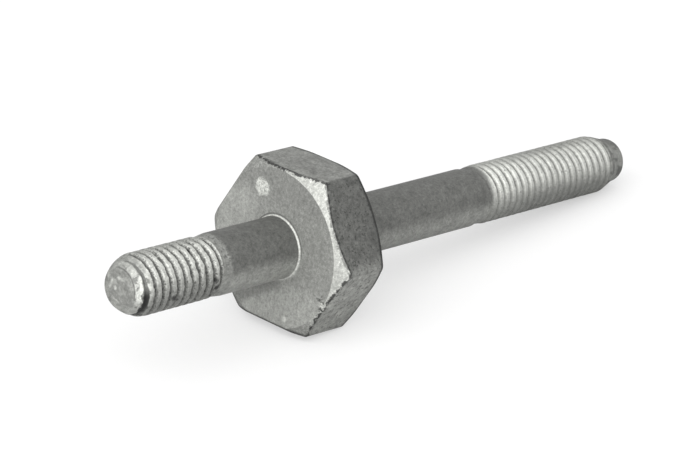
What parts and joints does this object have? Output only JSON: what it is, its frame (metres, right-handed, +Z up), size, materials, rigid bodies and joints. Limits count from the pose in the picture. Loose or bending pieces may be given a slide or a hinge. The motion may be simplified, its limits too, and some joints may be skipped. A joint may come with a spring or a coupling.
{
  "type": "stud bolt",
  "caption": "Double-ended stud bolt with a hexagonal collar, a short and a long rolled thread and a plain pilot, in matt grey coated steel.",
  "frame": {"origin": "on the ground under the middle of the stud's length, where it lies at rest on the collar's lowest flat and the far thread", "axes": "+X runs level towards the far end (long thread and pilot), +Z is up; the stud's own axis dips 6.91 degrees below +X"},
  "size_m": [0.0942, 0.024, 0.0218],
  "materials": {
    "coated_steel": "matt grey zinc-flake coating, mottled and grainy, paler on thread crests and chamfers"
  },
  "bodies": {
    "root": {"stud_bolt": "coated_steel"}
  },
  "joints": []
}
